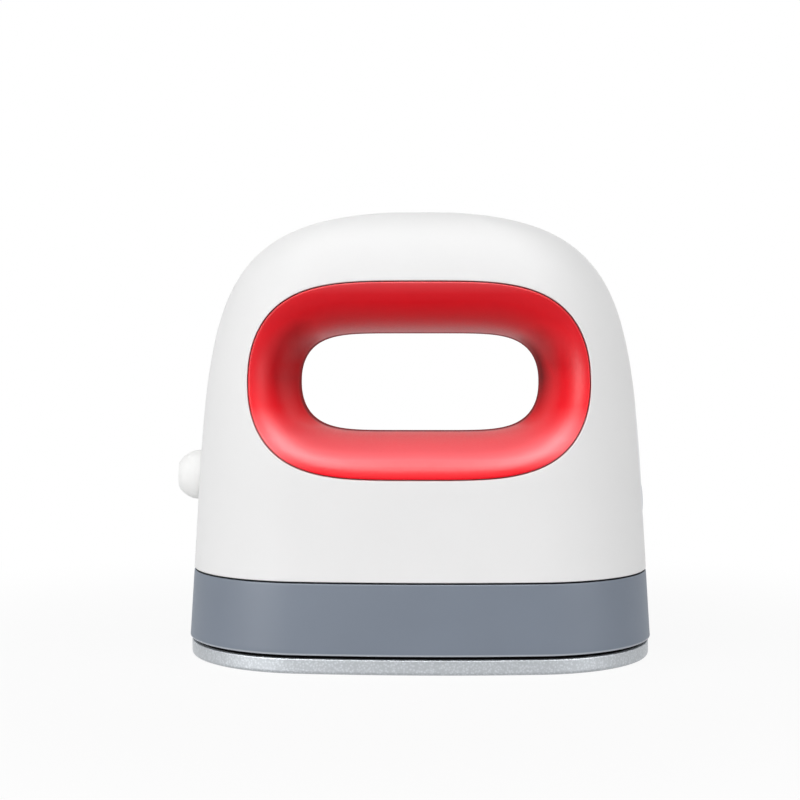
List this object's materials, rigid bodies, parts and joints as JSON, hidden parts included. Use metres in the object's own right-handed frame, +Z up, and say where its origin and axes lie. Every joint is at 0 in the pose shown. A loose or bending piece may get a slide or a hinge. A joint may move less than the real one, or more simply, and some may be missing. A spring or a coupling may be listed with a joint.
{
  "type": "mini handheld heat press",
  "caption": "Small handheld heat press: an oval heat plate and band under a domed housing with a lined hand slot, a side power button and a swivelling cord gland.",
  "frame": {"origin": "centre of the heating face, which is the underside of the heat plate", "axes": "+Z up through the housing's top, +X to the control end, -X to the cord end, -Y to the front"},
  "size_m": [0.1084, 0.0618, 0.1009],
  "materials": {
    "plate_metal": "fine sparkling grey, die-cast and coated",
    "heater_tube": "dull steel sheath",
    "ceramic": "ceramic bush",
    "gasket_rubber": "matt black silicone",
    "band_plastic": "fine satin grey-blue",
    "washer_board": "mica board",
    "screw_steel": "zinc-plated steel",
    "pad_fibre": "needled glass fibre",
    "shield_metal": "plain sheet",
    "deck_plastic": "moulded, heat-resistant",
    "sensor_body": "coated bead",
    "fuse_body": "painted case",
    "board_green": "solder mask",
    "relay_blue": "moulded case",
    "converter_yellow": "taped core",
    "capacitor_blue": "sleeved can",
    "block_green": "moulded",
    "chip_black": "moulded",
    "lead_red": "silicone sleeve",
    "lead_grey": "thin insulated wire",
    "lead_yellow": "glass-fibre sleeve",
    "ribbon_grey": "flat cable",
    "plunger_white": "moulded",
    "led_white": "clear epoxy",
    "lens_clear": "frosted light guide",
    "panel_plastic": "fine satin white",
    "button_plastic": "fine satin pale grey",
    "gland_plastic": "fine satin white",
    "shell_plastic": "fine satin white",
    "grip_red": "soft-touch satin red"
  },
  "bodies": {
    "press": {"heat_plate": "plate_metal", "heating_element": "heater_tube", "terminal_bushes": "ceramic", "plate_gasket": "gasket_rubber", "base_band": "band_plastic", "plate_washers": "washer_board", "plate_screws": "screw_steel", "insulation_pad": "pad_fibre", "heat_shield": "shield_metal", "inner_deck": "deck_plastic", "deck_screws": "screw_steel", "temperature_sensor": "sensor_body", "sensor_clip": "shield_metal", "thermal_fuse": "fuse_body", "fuse_clip": "shield_metal", "clip_screws": "screw_steel", "control_board": "board_green", "board_screws": "screw_steel", "relay": "relay_blue", "power_converter": "converter_yellow", "capacitors": "capacitor_blue", "terminal_block": "block_green", "board_chips": "chip_black", "heater_leads": "lead_red", "sensor_leads": "lead_grey", "fuse_leads": "lead_yellow", "display_ribbon": "ribbon_grey", "display_board": "board_green", "tact_switch": "chip_black", "status_leds": "led_white", "indicator_lenses": "lens_clear", "control_panel": "panel_plastic", "front_shell": "shell_plastic", "rear_shell": "shell_plastic", "shell_screws": "screw_steel", "front_grip": "grip_red", "rear_grip": "grip_red"},
    "button": {"power_button": "button_plastic", "switch_plunger": "plunger_white"},
    "gland": {"cord_gland": "gland_plastic", "gland_clamp": "deck_plastic", "clamp_screws": "screw_steel"}
  },
  "joints": [
    {"name": "button_press", "type": "slide", "parent": "press", "child": "button", "axis": [-1, 0, 0], "range_m": [0, 0.0008], "stiffness_N_per_m": 2000, "springref_m": -0.0004},
    {"name": "gland_swivel", "type": "hinge", "parent": "press", "child": "gland", "pos_m": [-0.0508, 0, 0.0405], "axis": [1, 0, 0], "range_deg": [-165, 165]}
  ]
}
